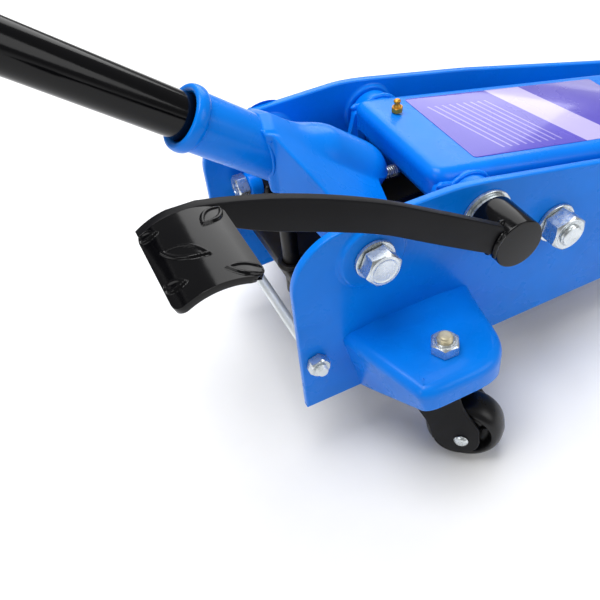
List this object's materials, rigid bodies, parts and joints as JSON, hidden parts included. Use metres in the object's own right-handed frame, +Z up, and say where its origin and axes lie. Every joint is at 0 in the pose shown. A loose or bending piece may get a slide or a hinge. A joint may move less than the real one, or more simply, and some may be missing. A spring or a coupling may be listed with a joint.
{
  "type": "hydraulic trolley jack",
  "caption": "Low hydraulic trolley jack with welded side plates, pump handle yoke, foot pedal, lift arm with round saddle, steel front wheels and swivel rear casters",
  "frame": {"origin": "centre of the bounding box at floor level", "axes": "+X towards the saddle, +Y to the left side, +Z up"},
  "size_m": [1.3616, 0.321, 0.8515],
  "materials": {
    "black_paint": "satin black powder coat",
    "blue_paint": "gloss blue enamel",
    "brass": "plain brass",
    "gloss_black": "gloss black enamel",
    "nylon": "moulded black nylon",
    "panel": "violet vinyl panel",
    "rubber": "matt moulded rubber",
    "zinc": "bright zinc plate"
  },
  "bodies": {
    "chassis": {"side_plate_right": "blue_paint", "caster_bracket_right": "blue_paint", "tie_nut_right": "zinc", "yoke_washer_right": "zinc", "yoke_bolt_right": "zinc", "anchor_washer_right": "zinc", "anchor_nut_right": "zinc", "anchor_bolt_right": "zinc", "axle_nut_right": "zinc", "caster_stem_right": "zinc", "side_plate_left": "blue_paint", "caster_bracket_left": "blue_paint", "tie_nut_left": "zinc", "yoke_washer_left": "zinc", "yoke_bolt_left": "zinc", "anchor_washer_left": "zinc", "anchor_nut_left": "zinc", "anchor_bolt_left": "zinc", "axle_nut_left": "zinc", "caster_stem_left": "zinc", "rear_tie_rod": "zinc", "arm_shaft": "zinc", "shaft_nut": "zinc", "pedal_spacer": "zinc", "front_axle": "zinc", "cross_tube": "blue_paint", "pump_block": "black_paint", "ram_cylinder": "black_paint", "valve_boss": "blue_paint", "valve_plug": "zinc"},
    "yoke": {"handle_yoke": "blue_paint"},
    "handle": {"handle_lower": "gloss_black", "handle_upper": "gloss_black", "handle_grip": "rubber"},
    "pedal": {"pedal_boss": "black_paint", "pedal_arm": "black_paint", "pedal_pad": "gloss_black"},
    "arm": {"lift_arm": "blue_paint", "arm_panel": "panel", "grease_nipple": "brass", "return_spring": "zinc"},
    "ram": {"ram_rod": "zinc", "ram_link_right": "zinc", "ram_link_left": "zinc"},
    "carrier": {"saddle_carrier": "blue_paint"},
    "saddle": {"saddle": "blue_paint", "saddle_pad": "rubber"},
    "plunger": {"pump_plunger": "zinc"},
    "level_right": {"level_rod_right": "zinc"},
    "caster_right": {"caster_fork_right": "black_paint", "caster_rivet_right": "zinc"},
    "caster_roll_right": {"caster_wheel_right": "nylon"},
    "front_roll_right": {"front_wheel_right": "black_paint"},
    "level_left": {"level_rod_left": "zinc"},
    "caster_left": {"caster_fork_left": "black_paint", "caster_rivet_left": "zinc"},
    "caster_roll_left": {"caster_wheel_left": "nylon"},
    "front_roll_left": {"front_wheel_left": "black_paint"}
  },
  "joints": [
    {"name": "handle_pump", "type": "hinge", "parent": "chassis", "child": "yoke", "pos_m": [0.13382, 0.00431, 0.155], "axis": [0, 1, 0], "range_deg": [-20, 45]},
    {"name": "handle_twist", "type": "hinge", "parent": "yoke", "child": "handle", "pos_m": [0.14225, 0.00431, 0.16516], "axis": [-0.7694, 0, 0.6388], "range_deg": [0, 60]},
    {"name": "foot_pedal", "type": "hinge", "parent": "chassis", "child": "pedal", "pos_m": [0.21532, 0.00431, 0.152], "axis": [0, -1, 0], "range_deg": [0, 28], "stiffness_Nm_per_rad": 4, "springref_deg": -20.05},
    {"name": "arm_lift", "type": "hinge", "parent": "chassis", "child": "arm", "pos_m": [0.21532, 0.00431, 0.152], "axis": [0, -1, 0], "range_deg": [0, 55]},
    {"name": "ram_slide", "type": "slide", "parent": "chassis", "child": "ram", "axis": [1, 0, 0], "range_m": [0, 0.067]},
    {"name": "carrier_level", "type": "hinge", "parent": "arm", "child": "carrier", "pos_m": [0.60082, 0.00431, 0.107], "axis": [0, 1, 0], "range_deg": [0, 55]},
    {"name": "saddle_turn", "type": "hinge", "parent": "carrier", "child": "saddle", "pos_m": [0.63082, 0.00431, 0.127], "axis": [0, 0, 1], "continuous": true},
    {"name": "plunger_slide", "type": "slide", "parent": "chassis", "child": "plunger", "axis": [0, 0, 1], "range_m": [-0.0055, 0.012]},
    {"name": "level_rod_right", "type": "hinge", "parent": "chassis", "child": "level_right", "pos_m": [0.27432, -0.06019, 0.1205], "axis": [0, -1, 0], "range_deg": [0, 55]},
    {"name": "caster_swivel_right", "type": "hinge", "parent": "chassis", "child": "caster_right", "pos_m": [0.16082, -0.11619, 0.079], "axis": [0, 0, 1], "continuous": true},
    {"name": "caster_spin_right", "type": "hinge", "parent": "caster_right", "child": "caster_roll_right", "pos_m": [0.17321, -0.12782, 0.0265], "axis": [0.6842, 0.7293, 0], "continuous": true},
    {"name": "front_spin_right", "type": "hinge", "parent": "chassis", "child": "front_roll_right", "pos_m": [0.62882, -0.09169, 0.042], "axis": [0, 1, 0], "continuous": true},
    {"name": "level_rod_left", "type": "hinge", "parent": "chassis", "child": "level_left", "pos_m": [0.27432, 0.06881, 0.1205], "axis": [0, -1, 0], "range_deg": [0, 55]},
    {"name": "caster_swivel_left", "type": "hinge", "parent": "chassis", "child": "caster_left", "pos_m": [0.16082, 0.12481, 0.079], "axis": [0, 0, 1], "continuous": true},
    {"name": "caster_spin_left", "type": "hinge", "parent": "caster_left", "child": "caster_roll_left", "pos_m": [0.17321, 0.13643, 0.0265], "axis": [-0.6842, 0.7293, 0], "continuous": true},
    {"name": "front_spin_left", "type": "hinge", "parent": "chassis", "child": "front_roll_left", "pos_m": [0.62882, 0.10031, 0.042], "axis": [0, 1, 0], "continuous": true}
  ],
  "couplings": [
    {"joint": "ram_slide", "follows": "arm_lift", "m_per_rad": 0.069276},
    {"joint": "carrier_level", "follows": "arm_lift", "ratio": 1},
    {"joint": "plunger_slide", "follows": "handle_pump", "m_per_rad": 0.015},
    {"joint": "level_rod_right", "follows": "arm_lift", "ratio": 1},
    {"joint": "level_rod_left", "follows": "arm_lift", "ratio": 1}
  ]
}
